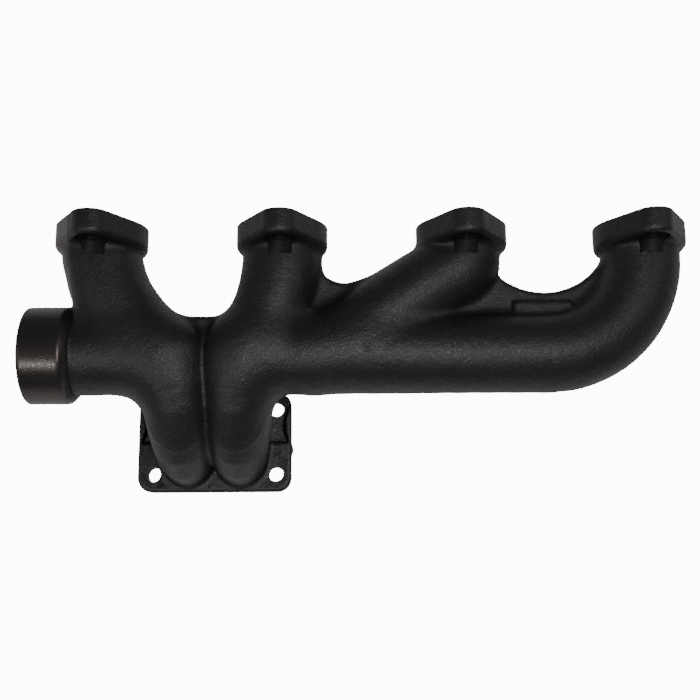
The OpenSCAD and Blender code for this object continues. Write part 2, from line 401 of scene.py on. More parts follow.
def lobed_side(x, y, z, run, names, centre_x, half_w, reach_below, grow, fillet):
    """Field of one half: a riser and the pipes that feed it."""
    body = riser(x, y, z, centre_x, half_w, reach_below)
    for name in names:
        body = soft_min(body, pipe(x, y, z, run[name], grow), fillet)
    return body


def cores(x, y, z, run, half_w, wall, fillet):
    """Field of the two cored passages, which the divider keeps apart."""
    keep_off = 4.0
    front = lobed_side(x, y, z, run, ("neck", "runner_1"), -RISER_X, half_w, 20, -wall, fillet)
    rear_pipes = ("log", "runner_2", "runner_3", "runner_4")
    rear = lobed_side(x, y, z, run, rear_pipes, RISER_X, half_w, 20, -wall, fillet)
    return np.minimum(np.maximum(front, x + keep_off), np.maximum(rear, keep_off - x))


def webs(x, y, z, body, thickness):
    """The body with its webs and the raised pad blended in."""
    low, high = AXIS_Z - thickness / 2, AXIS_Z + thickness / 2
    for outline in web_outlines():
        body = soft_min(body, extruded(polygon(x, y, outline), z, low, high, 3.0), 6.0)
    pad_low = (LOG_END_X - 19, LOG_Y + 22, AXIS_Z - 8)
    pad_high = (LOG_END_X + 22, LOG_Y + 35.5, AXIS_Z + 9.5)
    return soft_min(body, slab(x, y, z, pad_low, pad_high, 1.5), 2.0)


def port_flanges(x, y, z, body):
    """The body with the four port flanges blended in."""
    for px, _, pz in PORTS:
        outline = flange_outline(x - px, z - pz)
        plate = extruded(outline, y, FLANGE_BACK_Y, PORT_FACE_Y + 2 * SPARE, 3.5)
        body = soft_min(body, plate + waviness(x, y, z, 0.15), 5.0)
    return body


def iron_field(x, y, z, s):
    """Field of the whole casting before it is machined."""
    radius, wall, fillet = s.pipe_radius / MM, s.wall / MM, s.fillet / MM
    run = routes(radius)
    valley, seam_height, seam_width = 4.0, 0.45, 1.3
    lobe_w = RISER_X - 0.3
    front = lobed_side(x, y, z, run, ("neck", "runner_1"), -RISER_X, lobe_w, 0, 0.0, fillet)
    rear = lobed_side(x, y, z, run, ("log", "runner_2"), RISER_X, lobe_w, 0, 0.0, fillet)
    rear = soft_min(rear, pipe(x, y, z, run["runner_3"]), 0.75 * fillet)
    rear = np.minimum(rear, pipe(x, y, z, run["runner_4"]))
    outer = soft_min(front, rear, valley)
    outer = webs(x, y, z, outer, s.web / MM)
    outer += waviness(x, y, z, s.unevenness / MM)
    outer -= seam_height * np.exp(-(((z - AXIS_Z) / seam_width) ** 2))
    outer = port_flanges(x, y, z, outer)
    outer = np.minimum(outer, socket(x, y, z))
    outer = soft_min(outer, turbo_plate(x, y, z), 3.0)
    outer = np.maximum(np.maximum(outer, y - (PORT_FACE_Y + SPARE)), -SPARE - z)
    outer = np.maximum(outer, SOCKET_LOW[0] - SPARE - x)
    core_w = lobe_w - wall + 1.5
    return np.maximum(outer, -cores(x, y, z, run, core_w, wall, fillet))


def turbo_plate(x, y, z):
    """Field of the turbocharger flange, relieved around its two upper nuts."""
    corner = 11.0
    half = (TURBO_HIGH - TURBO_LOW) / 2 - corner
    centre_y = (TURBO_LOW[1] + TURBO_HIGH[1]) / 2
    q0, q1 = np.abs(x) - half[0], np.abs(y - centre_y) - half[1]
    draft = 0.035 * (z - TURBO_T)
    outside = np.sqrt(np.maximum(q0, 0) ** 2 + np.maximum(q1, 0) ** 2)
    flat = outside + np.minimum(np.maximum(q0, q1), 0)
    plate = extruded(flat - corner - draft, z, -2 * SPARE, TURBO_T, 1.6)
    relief_x, relief_y, relief_depth, ledge_y = 50.6, 12, 5.5, -1.0
    bulge = 0.0215 * (y - relief_y) ** 2
    relief = np.maximum(np.abs(x) - relief_x - bulge, ledge_y - y)
    relief = soft_max(relief, TURBO_T - relief_depth - z, 1.2)
    plate = np.maximum(plate, -relief)
    edge = np.abs(x) - TURBO_HIGH[0] + 0.4
    nub = np.sqrt(edge**2 + (0.5 * (y + 6)) ** 2 + (0.6 * (z - 8)) ** 2) - 1.6
    return soft_min(plate, nub, 1.5)


# ---------------------------------------------------------------- from field to mesh

class Pour:
    """The field on its grid, kept while the pieces are cut from it."""

    low = np.zeros(3)
    step = 1.0
    field = None
    slope = None

    @classmethod
    def fill(cls, settings):
        """Works the field out slice by slice, and its slope."""
        cls.step = settings.grain / MM
        margin, slice_count = 5.0, 12
        low = np.array(CAD_BOX[0]) / MM - margin
        high = np.array(CAD_BOX[1]) / MM + margin
        high[1] += SPARE
        low[0] -= SPARE
        low[2] -= SPARE
        axes = [np.arange(low[i], high[i] + cls.step, cls.step, dtype=np.float32) for i in range(3)]
        cls.low = np.array([a[0] for a in axes], float)
        slices = []
        for part in np.array_split(axes[0], slice_count):
            slices.append(iron_field(part[:, None, None], axes[1][None, :, None],
                                     axes[2][None, None, :], settings).astype(np.float32))
        cls.field = np.concatenate(slices, axis=0)
        cls.slope = np.gradient(cls.field)
        untangle(cls.field)

    @classmethod
    def sample(cls, points, grids):
        """Values of some grids at points, blended between the eight nearest grid nodes."""
        g = (points - cls.low) / cls.step
        g = np.clip(g, 0, np.array(cls.field.shape) - 1.001)
        i = g.astype(int)
        f = g - i
        out = [0.0] * len(grids)
        for corner in range(8):
            o = [(corner >> a) & 1 for a in range(3)]
            weight = np.prod([f[:, a] if o[a] else 1 - f[:, a] for a in range(3)], axis=0)
            at = tuple(i[:, a] + o[a] for a in range(3))
            out = [v + weight * grid[at] for v, grid in zip(out, grids)]
        return out

    @classmethod
    def normals(cls, points):
        """Outward directions of the field at points."""
        n = np.stack(cls.sample(points, cls.slope), axis=1)
        return n / np.maximum(np.linalg.norm(n, axis=1, keepdims=True), 1e-9)


def untangle(field):
    """Fills grid squares whose inside corners meet only at a diagonal, which no closed skin can follow."""
    corners = ((0, 0), (0, 1), (1, 0), (1, 1))
    just_inside, most_rounds = -0.05, 30
    for _ in range(most_rounds):
        inside = field < 0
        tangled = 0
        for a, b in ((0, 1), (0, 2), (1, 2)):
            views = {}
            for i, j in corners:
                cut = [slice(None)] * 3
                cut[a] = slice(i, field.shape[a] - 1 + i)
                cut[b] = slice(j, field.shape[b] - 1 + j)
                views[i, j] = inside[tuple(cut)]
            diagonals_match = (views[0, 0] == views[1, 1]) & (views[0, 1] == views[1, 0])
            squares = np.argwhere(diagonals_match & (views[0, 0] != views[0, 1]))
            tangled += len(squares)
            for i, j in corners:
                at = squares.copy()
                at[:, a] += i
                at[:, b] += j
                at = tuple(at.T)
                field[at] = np.where(inside[at], field[at], just_inside)
        if not tangled:
            return
    raise RuntimeError("the grid squares stay tangled")


def skin_of(field):
    """Vertices in grid units and quads where a field changes sign: one vertex for each mixed cell."""
    shape = np.array(field.shape) - 1
    total = np.zeros((*shape, 3), np.float32)
    count = np.zeros(shape, np.float32)
    inside = field < 0
    crossings = []
    for axis in range(3):
        a = [slice(None)] * 3
        b = [slice(None)] * 3
        a[axis], b[axis] = slice(0, -1), slice(1, None)
        da, db = field[tuple(a)], field[tuple(b)]
        edge = np.argwhere(inside[tuple(a)] != inside[tuple(b)])
        others = [k for k in range(3) if k != axis]
        edge = edge[np.all((edge[:, others] > 0) & (edge[:, others] < shape[others]), axis=1)]
        at = tuple(edge.T)
        t = da[at] / (da[at] - db[at])
        point = edge.astype(np.float32)
        point[:, axis] += t
        for du in (0, 1):
            for dv in (0, 1):
                cell = edge.copy()
                cell[:, others[0]] -= du
                cell[:, others[1]] -= dv
                np.add.at(total, tuple(cell.T), point)
                np.add.at(count, tuple(cell.T), 1)
        crossings.append((axis, edge, inside[tuple(a)][at]))
    used = count > 0
    index = np.full(shape, -1, int)
    index[used] = np.arange(used.sum())
    vertices = total[used] / count[used][:, None]
    quads = []
    for axis, edge, starts_inside in crossings:
        u, v = (axis + 1) % 3, (axis + 2) % 3
        ring = []
        for du, dv in ((1, 1), (0, 1), (0, 0), (1, 0)):
            cell = edge.copy()
            cell[:, u] -= du
            cell[:, v] -= dv
            ring.append(index[tuple(cell.T)])
        ring = np.stack(ring, axis=1)
        ring[~starts_inside] = ring[~starts_inside][:, ::-1]
        quads.append(ring)
    return vertices, np.concatenate(quads)


def mesh_from(name, vertices_m, faces):
    """Plain mesh object in the scene, from arrays or lists. Its vertices are in metres."""
    vertices_m, faces = (r.tolist() if isinstance(r, np.ndarray) else r for r in (vertices_m, faces))
    mesh = bpy.data.meshes.new(name)
    mesh.from_pydata(vertices_m, [], faces)
    obj = bpy.data.objects.new(name, mesh)
    bpy.context.scene.collection.objects.link(obj)
    return obj


def boolean(obj, tool, operation):
    """Cuts obj with a closed tool, or keeps what they share, and removes the tool."""
    step = obj.modifiers.new("cut", "BOOLEAN")
    step.operation = operation
    step.solver = "MANIFOLD"
    step.object = tool
    apply_modifiers(obj)
    bpy.data.objects.remove(tool)
    if not len(obj.data.polygons):
        raise RuntimeError(f"nothing is left of {obj.name} after a cut")


def apply_modifiers(obj):
    """Turns obj's modifiers into its mesh."""
    graph = bpy.context.evaluated_depsgraph_get()
    graph.update()
    mesh = bpy.data.meshes.new_from_object(
        obj.evaluated_get(graph), preserve_all_data_layers=True, depsgraph=graph
    )
    obj.modifiers.clear()
    old = obj.data
    obj.data = mesh
    bpy.data.meshes.remove(old)


def rect(x0, x1, y0, y1):
    """Outline of a rectangle."""
    return [(x0, y0), (x1, y0), (x1, y1), (x0, y1)]


def prism(name, outline, low, high):
    """Closed solid over a polygon in X and Y, from height low to high."""
    n = len(outline)
    vertices = [(x * MM, y * MM, h * MM) for h in (low, high) for x, y in outline]
    faces = [tuple(reversed(range(n))), tuple(range(n, 2 * n))]
    faces += [(i, (i + 1) % n, n + (i + 1) % n, n + i) for i in range(n)]
    return mesh_from(name, vertices, faces)


def block(name, low, high):
    """Closed box between two corners."""
    return prism(name, rect(low[0], high[0], low[1], high[1]), low[2], high[2])


# ---------------------------------------------------------------- holes, by geometry nodes

def socket_id(tree, name):
    """Identifier of a node tree's input, which a modifier's value is set by."""
    return next(i.identifier for i in tree.interface.items_tree
                if i.item_type == "SOCKET" and i.in_out == "INPUT" and i.name == name)


def hole_pattern_tree():
    """Tree that makes a rectangle of round drills, turned and placed."""
    found = bpy.data.node_groups.get("Hole Pattern")
    if found:
        return found
    tree = bpy.data.node_groups.new("Hole Pattern", "GeometryNodeTree")
    face = tree.interface
    face.new_socket("Geometry", in_out="OUTPUT", socket_type="NodeSocketGeometry")
    for name, kind in (
        ("Columns", "Int"), ("Rows", "Int"), ("Width", "Float"), ("Height", "Float"),
        ("Radius", "Float"), ("Length", "Float"), ("Facets", "Int"),
        ("Centre", "Vector"), ("Turn", "Rotation"), ("Finish", "Material"),
    ):
        face.new_socket(name, in_out="INPUT", socket_type=f"NodeSocket{kind}")
    node, link = tree.nodes.new, tree.links.new
    given, made = node("NodeGroupInput"), node("NodeGroupOutput")
    grid, drill = node("GeometryNodeMeshGrid"), node("GeometryNodeMeshCylinder")
    spread, place = node("GeometryNodeInstanceOnPoints"), node("GeometryNodeTransform")
    real, paint = node("GeometryNodeRealizeInstances"), node("GeometryNodeSetMaterial")
    for source, target in (
        ("Width", grid.inputs["Size X"]), ("Height", grid.inputs["Size Y"]),
        ("Columns", grid.inputs["Vertices X"]), ("Rows", grid.inputs["Vertices Y"]),
        ("Facets", drill.inputs["Vertices"]), ("Radius", drill.inputs["Radius"]),
        ("Length", drill.inputs["Depth"]), ("Centre", place.inputs["Translation"]),
        ("Turn", place.inputs["Rotation"]), ("Finish", paint.inputs["Material"]),
    ):
        link(given.outputs[source], target)
    link(grid.outputs["Mesh"], spread.inputs["Points"])
    link(drill.outputs["Mesh"], spread.inputs["Instance"])
    link(spread.outputs["Instances"], place.inputs["Geometry"])
    link(place.outputs["Geometry"], real.inputs["Geometry"])
    link(real.outputs["Geometry"], paint.inputs["Geometry"])
    link(paint.outputs["Geometry"], made.inputs["Geometry"])
    return tree


def drills(name, columns, rows, width, height, radius, length, centre, turn=(0, 0, 0), facets=48):
    """Mesh object of drills in a rectangle. Sizes are millimetres and turn is in degrees."""
    obj = mesh_from(name, [], [])
    obj.data.materials.append(worked_iron())
    tree = hole_pattern_tree()
    step = obj.modifiers.new("pattern", "NODES")
    step.node_group = tree
    values = {
        "Columns": columns, "Rows": rows, "Width": width * MM, "Height": height * MM,
        "Radius": radius * MM, "Length": length * MM, "Facets": facets,
        "Centre": [c * MM for c in centre], "Turn": [math.radians(t) for t in turn],
        "Finish": worked_iron(),
    }
    for key, value in values.items():
        step[socket_id(tree, key)] = value
    apply_modifiers(obj)
    return obj


# ---------------------------------------------------------------- finishes

def group_tree(name, inputs, outputs):
    """New shader node group with named inputs and outputs."""
    tree = bpy.data.node_groups.new(name, "ShaderNodeTree")
    for key, default in inputs.items():
        kind = "NodeSocketColor" if hasattr(default, "__len__") else "NodeSocketFloat"
        made = tree.interface.new_socket(key, in_out="INPUT", socket_type=kind)
        made.default_value = (*default, 1.0) if hasattr(default, "__len__") else default
    for key, kind in outputs.items():
        tree.interface.new_socket(key, in_out="OUTPUT", socket_type=f"NodeSocket{kind}")
    return tree, tree.nodes.new("NodeGroupInput"), tree.nodes.new("NodeGroupOutput")


def math_node(tree, operation, a, b=None, clamp=False):
    """One math node. a and b are sockets or numbers."""
    node = tree.nodes.new("ShaderNodeMath")
    node.operation = operation
    node.use_clamp = clamp
    for slot, value in zip(node.inputs, (a, b)):
        if isinstance(value, bpy.types.NodeSocket):
            tree.links.new(value, slot)
        elif value is not None:
            slot.default_value = value
    return node.outputs[0]


def noise(tree, coords, scale, detail, roughness=0.55):
    """Noise texture on some coordinates."""
    node = tree.nodes.new("ShaderNodeTexNoise")
    tree.links.new(coords, node.inputs["Vector"])
    node.inputs["Detail"].default_value = detail
    node.inputs["Roughness"].default_value = roughness
    if isinstance(scale, bpy.types.NodeSocket):
        tree.links.new(scale, node.inputs["Scale"])
    else:
        node.inputs["Scale"].default_value = scale
    return node.outputs["Fac"]


def sand_grain():
    """Group: the grain that moulding sand leaves in iron, with its colour, gloss and height, and painted
    glints: the highest grains lightened in the colour.
    """
    found = bpy.data.node_groups.get("Sand Grain")
    if found:
        return found
    tree, given, made = group_tree(
        "Sand Grain",
        {"Color": (0.02, 0.02, 0.02), "Grains per Metre": 900.0, "Patchiness": 0.3, "Gloss": 0.5,
         "Sparkle": 0.2},
        {"Color": "Color", "Roughness": "Float", "Height": "Float"},
    )
    link = tree.links.new
    coords = tree.nodes.new("ShaderNodeTexCoord").outputs["Object"]
    fine = noise(tree, coords, given.outputs["Grains per Metre"], 3.0, 0.65)
    fewer = math_node(tree, "MULTIPLY", given.outputs["Grains per Metre"], 0.28)
    coarse = noise(tree, coords, fewer, 2.0)
    patches = noise(tree, coords, 22.0, 3.0)
    height = math_node(tree, "ADD", math_node(tree, "MULTIPLY", fine, 0.55),
                       math_node(tree, "MULTIPLY", coarse, 0.45))
    link(height, made.inputs["Height"])

    # Painted glints: the highest grains are lightened in the base colour to stand in for the specular
    # sparkle of the coat.
    painted_glint_mask = math_node(tree, "SUBTRACT", fine, 0.56)
    painted_glint_mask = math_node(tree, "MULTIPLY", painted_glint_mask, 7.0, clamp=True)
    painted_glint = math_node(tree, "MULTIPLY", painted_glint_mask, given.outputs["Sparkle"])
    shade = math_node(tree, "SUBTRACT", patches, 0.5)
    shade = math_node(tree, "MULTIPLY", shade, given.outputs["Patchiness"])
    level = math_node(tree, "ADD", math_node(tree, "ADD", shade, 1.0), painted_glint)
    tint = tree.nodes.new("ShaderNodeVectorMath")
    tint.operation = "SCALE"
    link(given.outputs["Color"], tint.inputs[0])
    link(level, tint.inputs["Scale"])
    link(tint.outputs["Vector"], made.inputs["Color"])
    rough = math_node(tree, "ADD", given.outputs["Gloss"], math_node(tree, "MULTIPLY", shade, 0.25))
    rough = math_node(tree, "SUBTRACT", rough, math_node(tree, "MULTIPLY", painted_glint, 0.12), clamp=True)
    link(rough, made.inputs["Roughness"])
    return tree


def iron_material(name, color, per_metre, gloss, patchiness, painted_glint, depth, metallic, specular,
                  sheen_tint=(1.0, 1.0, 1.0, 1.0)):
    """Black coated iron with its own grain and painted glints."""
    found = bpy.data.materials.get(name)
    if found:
        return found
    material = bpy.data.materials.new(name)
    material.use_nodes = True
    tree = material.node_tree
    shader = tree.nodes["Principled BSDF"]
    shader.inputs["Metallic"].default_value = metallic
    shader.inputs["Specular IOR Level"].default_value = specular
    shader.inputs["Specular Tint"].default_value = sheen_tint
    grain = tree.nodes.new("ShaderNodeGroup")
    grain.node_tree = sand_grain()
    grain.inputs["Color"].default_value = (*color, 1.0)
    grain.inputs["Grains per Metre"].default_value = per_metre
    grain.inputs["Gloss"].default_value = gloss
    grain.inputs["Patchiness"].default_value = patchiness
    # Strength of the painted glints, bright specks lightened into the base colour.
    grain.inputs["Sparkle"].default_value = painted_glint
    bump = tree.nodes.new("ShaderNodeBump")
    bump.inputs["Distance"].default_value = depth
    bump.inputs["Strength"].default_value = 1.0
    tree.links.new(grain.outputs["Height"], bump.inputs["Height"])
    tree.links.new(bump.outputs["Normal"], shader.inputs["Normal"])
    tree.links.new(grain.outputs["Color"], shader.inputs["Base Color"])
    tree.links.new(grain.outputs["Roughness"], shader.inputs["Roughness"])
    material.diffuse_color = (*color, 1.0)
    return material


def cast_skin():
    """The rough coated skin."""
    s = bpy.context.scene.manifold_finish
    # The skin's painted glints lighten the highest grains of its base colour.
    return iron_material(
        "coated cast skin", s.skin_color, per_metre=620.0, gloss=0.44, patchiness=0.7, painted_glint=2.4,
        depth=1.2 * s.grain_depth, metallic=0.0, specular=0.7,
    )


def worked_iron():
    """Coated iron where a cutter has been."""
    s = bpy.context.scene.manifold_finish
    return iron_material(
        # The worked iron's painted glints lighten the highest grains of its base colour.
        "coated worked iron", s.worked_color, per_metre=1500.0, gloss=0.40, patchiness=0.25,
        painted_glint=0.8, depth=0.35 * s.grain_depth, metallic=0.35, specular=0.6,
    )


def collar_iron():
    """The smoother, glossier coat on the socket's outside."""
    s = bpy.context.scene.manifold_finish
    # The collar's painted glints lighten the highest grains of its base colour.
    return iron_material(
        "coated collar", s.collar_color, per_metre=900.0, gloss=0.30, patchiness=0.3, painted_glint=2.2,
        depth=0.30 * s.grain_depth, metallic=0.0, specular=1.0, sheen_tint=(1.0, 0.88, 0.83, 1.0),
    )


# ---------------------------------------------------------------- dividing the casting

def regions():
    """For each node, the cuts that leave its share of the iron: (operation, outline, low z, high z)."""
    keep, drop = "INTERSECT", "DIFFERENCE"
    left, right = CAD_BOX[0][0] / MM - 20, CAD_BOX[1][0] / MM + 20
    ahead, back, behind = -60.0, FLANGE_BACK_Y, PORT_FACE_Y + 20
    bottom, plate, top = -20.0, TURBO_T, 130.0
    shoulder, neck_end, half, end = SOCKET_HIGH[0], NECK_END_X, DIVIDER_X, LOG_END_X
    p1, p2, p3, p4 = (p[0] for p in PORTS)
    crest = LOG_Y + 28
    ledge = crest + 6
    foot_y, foot_z = LOG_Y - 29.5, AXIS_Z - 29.5

    # Outlines where the webs leave the runners
    web_left, web_right = p2 + 26, (p3 - 48, back)
    web_foot, web_top = (p2 + 33, crest + 3), (p3 - 57, crest + 30)
    crotch, rise = (p3 + 2, crest), (p3 + 7, crest + 4)
    rise_top, rise_end = (p3 + 25, crest + 28), (p3 + 27, back)
    arc = quarter((end + 4, back), (42.5, 44), -90, 0, 9)
    rear_web = [crotch, (end, crest), *arc, rise_end, rise_top, rise]
    pad = rect(end - 20, end + 23, crest - 1, LOG_Y + 37)
    pad_z = AXIS_Z + 5

    front_runner = [(left, ledge), (shoulder, ledge), (shoulder, crest), (-half, crest),
                    (-half, back), (left, back)]
    slanted_runner = [(web_left, crest), crotch, rise, rise_top, rise_end, web_right, web_top, web_foot]
    curved_runner = [(end, ahead), (right, ahead), (right, back), *arc[::-1], (end, crest)]
    front_web = [(web_left, crest), web_foot, web_top, web_right, (web_left, back)]
    out = {
        "runner_1": [(keep, front_runner, plate, top)],
        "runner_2": [(keep, rect(half, web_left, crest, back), plate, top)],
        "runner_3": [(keep, slanted_runner, plate, top)],
        "runner_4": [(keep, curved_runner, plate, top)],
        "web_2_3": [(keep, front_web, plate, top)],
        "web_3_4": [(keep, rear_web, plate, top), (drop, pad, pad_z, top + 1)],
        "web_pad": [(keep, rear_web, plate, top), (keep, pad, pad_z, top + 1)],
        "slip_socket": [(keep, rect(left, shoulder, ahead, ledge), plate, top)],
        "socket_neck": [(keep, rect(shoulder, neck_end, ahead, crest), plate, top)],
        "front_log": [(keep, rect(neck_end, -half, foot_y, crest), foot_z, top)],
        "rear_log": [(keep, rect(half, end, foot_y, crest), foot_z, top)],
        "divider_wall": [(keep, rect(-half, half, ahead, back), plate, top)],
        "turbo_flange": [(keep, rect(left, right, ahead, behind), bottom, plate)],
    }
    for name, x0, x1 in (("front_riser", neck_end, -half), ("rear_riser", half, end)):
        out[name] = [(keep, rect(x0, x1, ahead, crest), plate, top),
                     (drop, rect(x0 - 1, x1 + 1, foot_y, crest + 1), foot_z, top + 1)]
    splits = [left, (p1 + p2) / 2, (p2 + p3) / 2, (p3 + p4) / 2, right]
    for i in range(4):
        out[f"port_flange_{i + 1}"] = [(keep, rect(splits[i], splits[i + 1], back, behind), bottom, top)]
    return out


def smooth_skin(obj):
    """Gives the cast faces the field's own normals, so that no line shows where two pieces meet."""
    skin_reach, least_agreement = 0.35, 0.6
    mesh = obj.data
    vertex = np.zeros(len(mesh.loops), np.int32)
    mesh.loops.foreach_get("vertex_index", vertex)
    points = np.zeros(len(mesh.vertices) * 3)
    mesh.vertices.foreach_get("co", points)
    points = points.reshape(-1, 3) / MM
    true_normals = Pour.normals(points)
    off_skin = np.abs(Pour.sample(points, [Pour.field])[0]) > skin_reach
    faces = len(mesh.polygons)
    starts, totals = np.zeros(faces, np.int32), np.zeros(faces, np.int32)
    flat, slots = np.zeros(faces * 3), np.zeros(faces, np.int32)
    mesh.polygons.foreach_get("loop_start", starts)
    mesh.polygons.foreach_get("loop_total", totals)
    mesh.polygons.foreach_get("normal", flat)
    mesh.polygons.foreach_get("material_index", slots)
    owner = np.repeat(np.arange(faces), totals)
    flat = flat.reshape(-1, 3)[owner]
    smooth = true_normals[vertex]
    disagrees = np.sum(flat * smooth, axis=1) < least_agreement
    use_flat = (slots[owner] == WORKED) | off_skin[vertex] | disagrees
    normals = np.where(use_flat[:, None], flat, smooth)
    mesh.polygons.foreach_set("use_smooth", np.ones(faces, bool))
    mesh.normals_split_custom_set(normals.tolist())


def part_of_casting(node):
    """Cuts one node's region out of the machined casting and lets it stand for the node."""
    whole = bpy.data.objects[WHOLE]
    piece = bpy.data.objects.new(f"{node}_iron", whole.data.copy())
    bpy.context.scene.collection.objects.link(piece)
    for operation, outline, low, high in regions()[node]:
        tool = prism("region", outline, low, high)
        tool.data.materials.append(cast_skin())
        boolean(piece, tool, operation)
    piece.data.name = piece.name
    smooth_skin(piece)
    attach(piece, ROOT)
    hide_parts(node)


# ---------------------------------------------------------------- stage

def glow(tree, to_part):
    """Strength that looks white to the camera and lights the part only a little."""
    seen = tree.nodes.new("ShaderNodeLightPath").outputs["Is Camera Ray"]
    return math_node(tree, "ADD", math_node(tree, "MULTIPLY", seen, GLOW_TO_CAMERA), to_part)


def pale_floor(color):
    """A wide floor just under the part."""
    reach, drop = 6, 0.004
    floor = mesh_from("floor", [(x, y, 0) for x, y in rect(-reach, reach, -reach, reach)], [(0, 1, 2, 3)])
    floor.data.transform(Matrix.Translation((0, 0, CAD_BOX[0][2] - drop)))
    paper = bpy.data.materials.new("pale floor")
    paper.use_nodes = True
    tree = paper.node_tree
    shader = tree.nodes["Principled BSDF"]
    shader.inputs["Base Color"].default_value = (*color, 1)
    shader.inputs["Roughness"].default_value = 0.9
    shader.inputs["Emission Color"].default_value = (1, 1, 1, 1)
    tree.links.new(glow(tree, FLOOR_GLOW), shader.inputs["Emission Strength"])
    floor.data.materials.append(paper)


def pale_world(scene):
    """An even white surround."""
    world = bpy.data.worlds.new("studio")
    world.use_nodes = True
    tree = world.node_tree
    back = tree.nodes["Background"]
    back.inputs["Color"].default_value = (1, 1, 1, 1)
    tree.links.new(glow(tree, WORLD_GLOW), back.inputs["Strength"])
    scene.world = world


def soft_light(scene, name, offset, size, power):
    """A round lamp, at an offset from the part's centre, that faces it."""
    centre = (Vector(CAD_BOX[0]) + Vector(CAD_BOX[1])) / 2
    lamp = bpy.data.lights.new(name, "AREA")
    lamp.energy, lamp.size = power, size
    lamp.shape = "DISK"
    obj = bpy.data.objects.new(name, lamp)
    obj.location = centre + Vector(offset)
    obj.rotation_euler = (centre - obj.location).to_track_quat("-Z", "Y").to_euler()
    scene.collection.objects.link(obj)


def stand_camera(scene, lens):
    """The camera, nearly straight above the part."""
    camera = bpy.data.objects.new("camera", bpy.data.cameras.new("camera"))
    camera.data.lens, camera.data.sensor_width = lens, 36.0
    camera.data.clip_start, camera.data.clip_end = 0.01, 50
    right, up = Vector(CAMERA_RIGHT), Vector(CAMERA_UP)
    back = right.cross(up).normalized()
    up = back.cross(right).normalized()
    turn = Matrix((right.normalized(), up, back)).transposed().to_4x4()
    camera.matrix_world = Matrix.Translation(CAMERA_PLACE) @ turn
    scene.collection.objects.link(camera)
    scene.camera = camera


# ---------------------------------------------------------------- operators

class MANIFOLD_OT_stage(bpy.types.Operator):
    """Lay the pale floor, hang the soft lights and stand the camera over the part"""

    bl_idname = "manifold.stage"
    bl_label = "Stage"

    def execute(self, context):
        s = context.scene.manifold_stage
        pale_floor(s.floor_color)
        pale_world(context.scene)
        for name, offset, size, power in (
            ("key", (0.12, -0.12, 0.86), 0.42, s.key_power),
            ("glint", (-0.43, -0.39, 0.67), 0.09, 0.3 * s.key_power),
            ("left fill", (-0.9, -0.2, 0.7), 0.8, s.fill_power),
            ("right fill", (0.9, 0.3, 0.8), 0.8, s.fill_power),
        ):
            soft_light(context.scene, name, offset, size, power)
        stand_camera(context.scene, s.lens)
        return {"FINISHED"}


class MANIFOLD_OT_pour(bpy.types.Operator):
    """Shape the whole casting, with its cored passages, as one closed body"""

    bl_idname = "manifold.pour"
    bl_label = "Pour the Iron"

    def execute(self, context):
        Pour.fill(context.scene.manifold_casting)
        vertices, quads = skin_of(Pour.field)
        points = Pour.low + vertices.astype(float) * Pour.step
        points -= Pour.normals(points) * Pour.sample(points, [Pour.field])[0][:, None]
        whole = mesh_from(WHOLE, points * MM, quads)
        for finish in (cast_skin(), worked_iron(), collar_iron()):
            whole.data.materials.append(finish)
        middles = np.zeros(len(quads) * 3)
        whole.data.polygons.foreach_get("center", middles)
        x, y, z = middles.reshape(-1, 3).T / MM
        edge = 2.5
        outside = np.hypot(y - LOG_Y, z - AXIS_Z) > SOCKET_R - edge
        collar = outside & (x < SOCKET_HIGH[0] - edge)
        slots = np.where(collar, COLLAR, SKIN).astype(np.int32)
        whole.data.polygons.foreach_set("material_index", slots)
        return {"FINISHED"}


class MANIFOLD_OT_mark(bpy.types.Operator):
    """Raise plain foundry marks, a ring and a row of pips, on the log's crest"""

    bl_idname = "manifold.mark"
    bl_label = "Foundry Marks"

    def execute(self, context):
        whole = bpy.data.objects[WHOLE]
        crest = AXIS_Z + context.scene.manifold_casting.pipe_radius / MM
        pips_at = (PORTS[2][0], LOG_Y + 1, crest - 1.2)
        ring_at = (PORTS[1][0] + 58, LOG_Y + 1, crest)
        eye_at = (*ring_at[:2], crest + 0.55)
        for tool, operation in (
            (drills("pips", 4, 1, 21, 1, 1.7, 4.0, pips_at, facets=20), "UNION"),
            (drills("ring", 1, 1, 1, 1, 4.6, 1.5, ring_at, facets=40), "UNION"),
            (drills("ring's eye", 1, 1, 1, 1, 3.0, 1.5, eye_at, facets=40), "DIFFERENCE"),
        ):
            tool.data.materials.clear()
            tool.data.materials.append(cast_skin())
            boolean(whole, tool, operation)
        return {"FINISHED"}


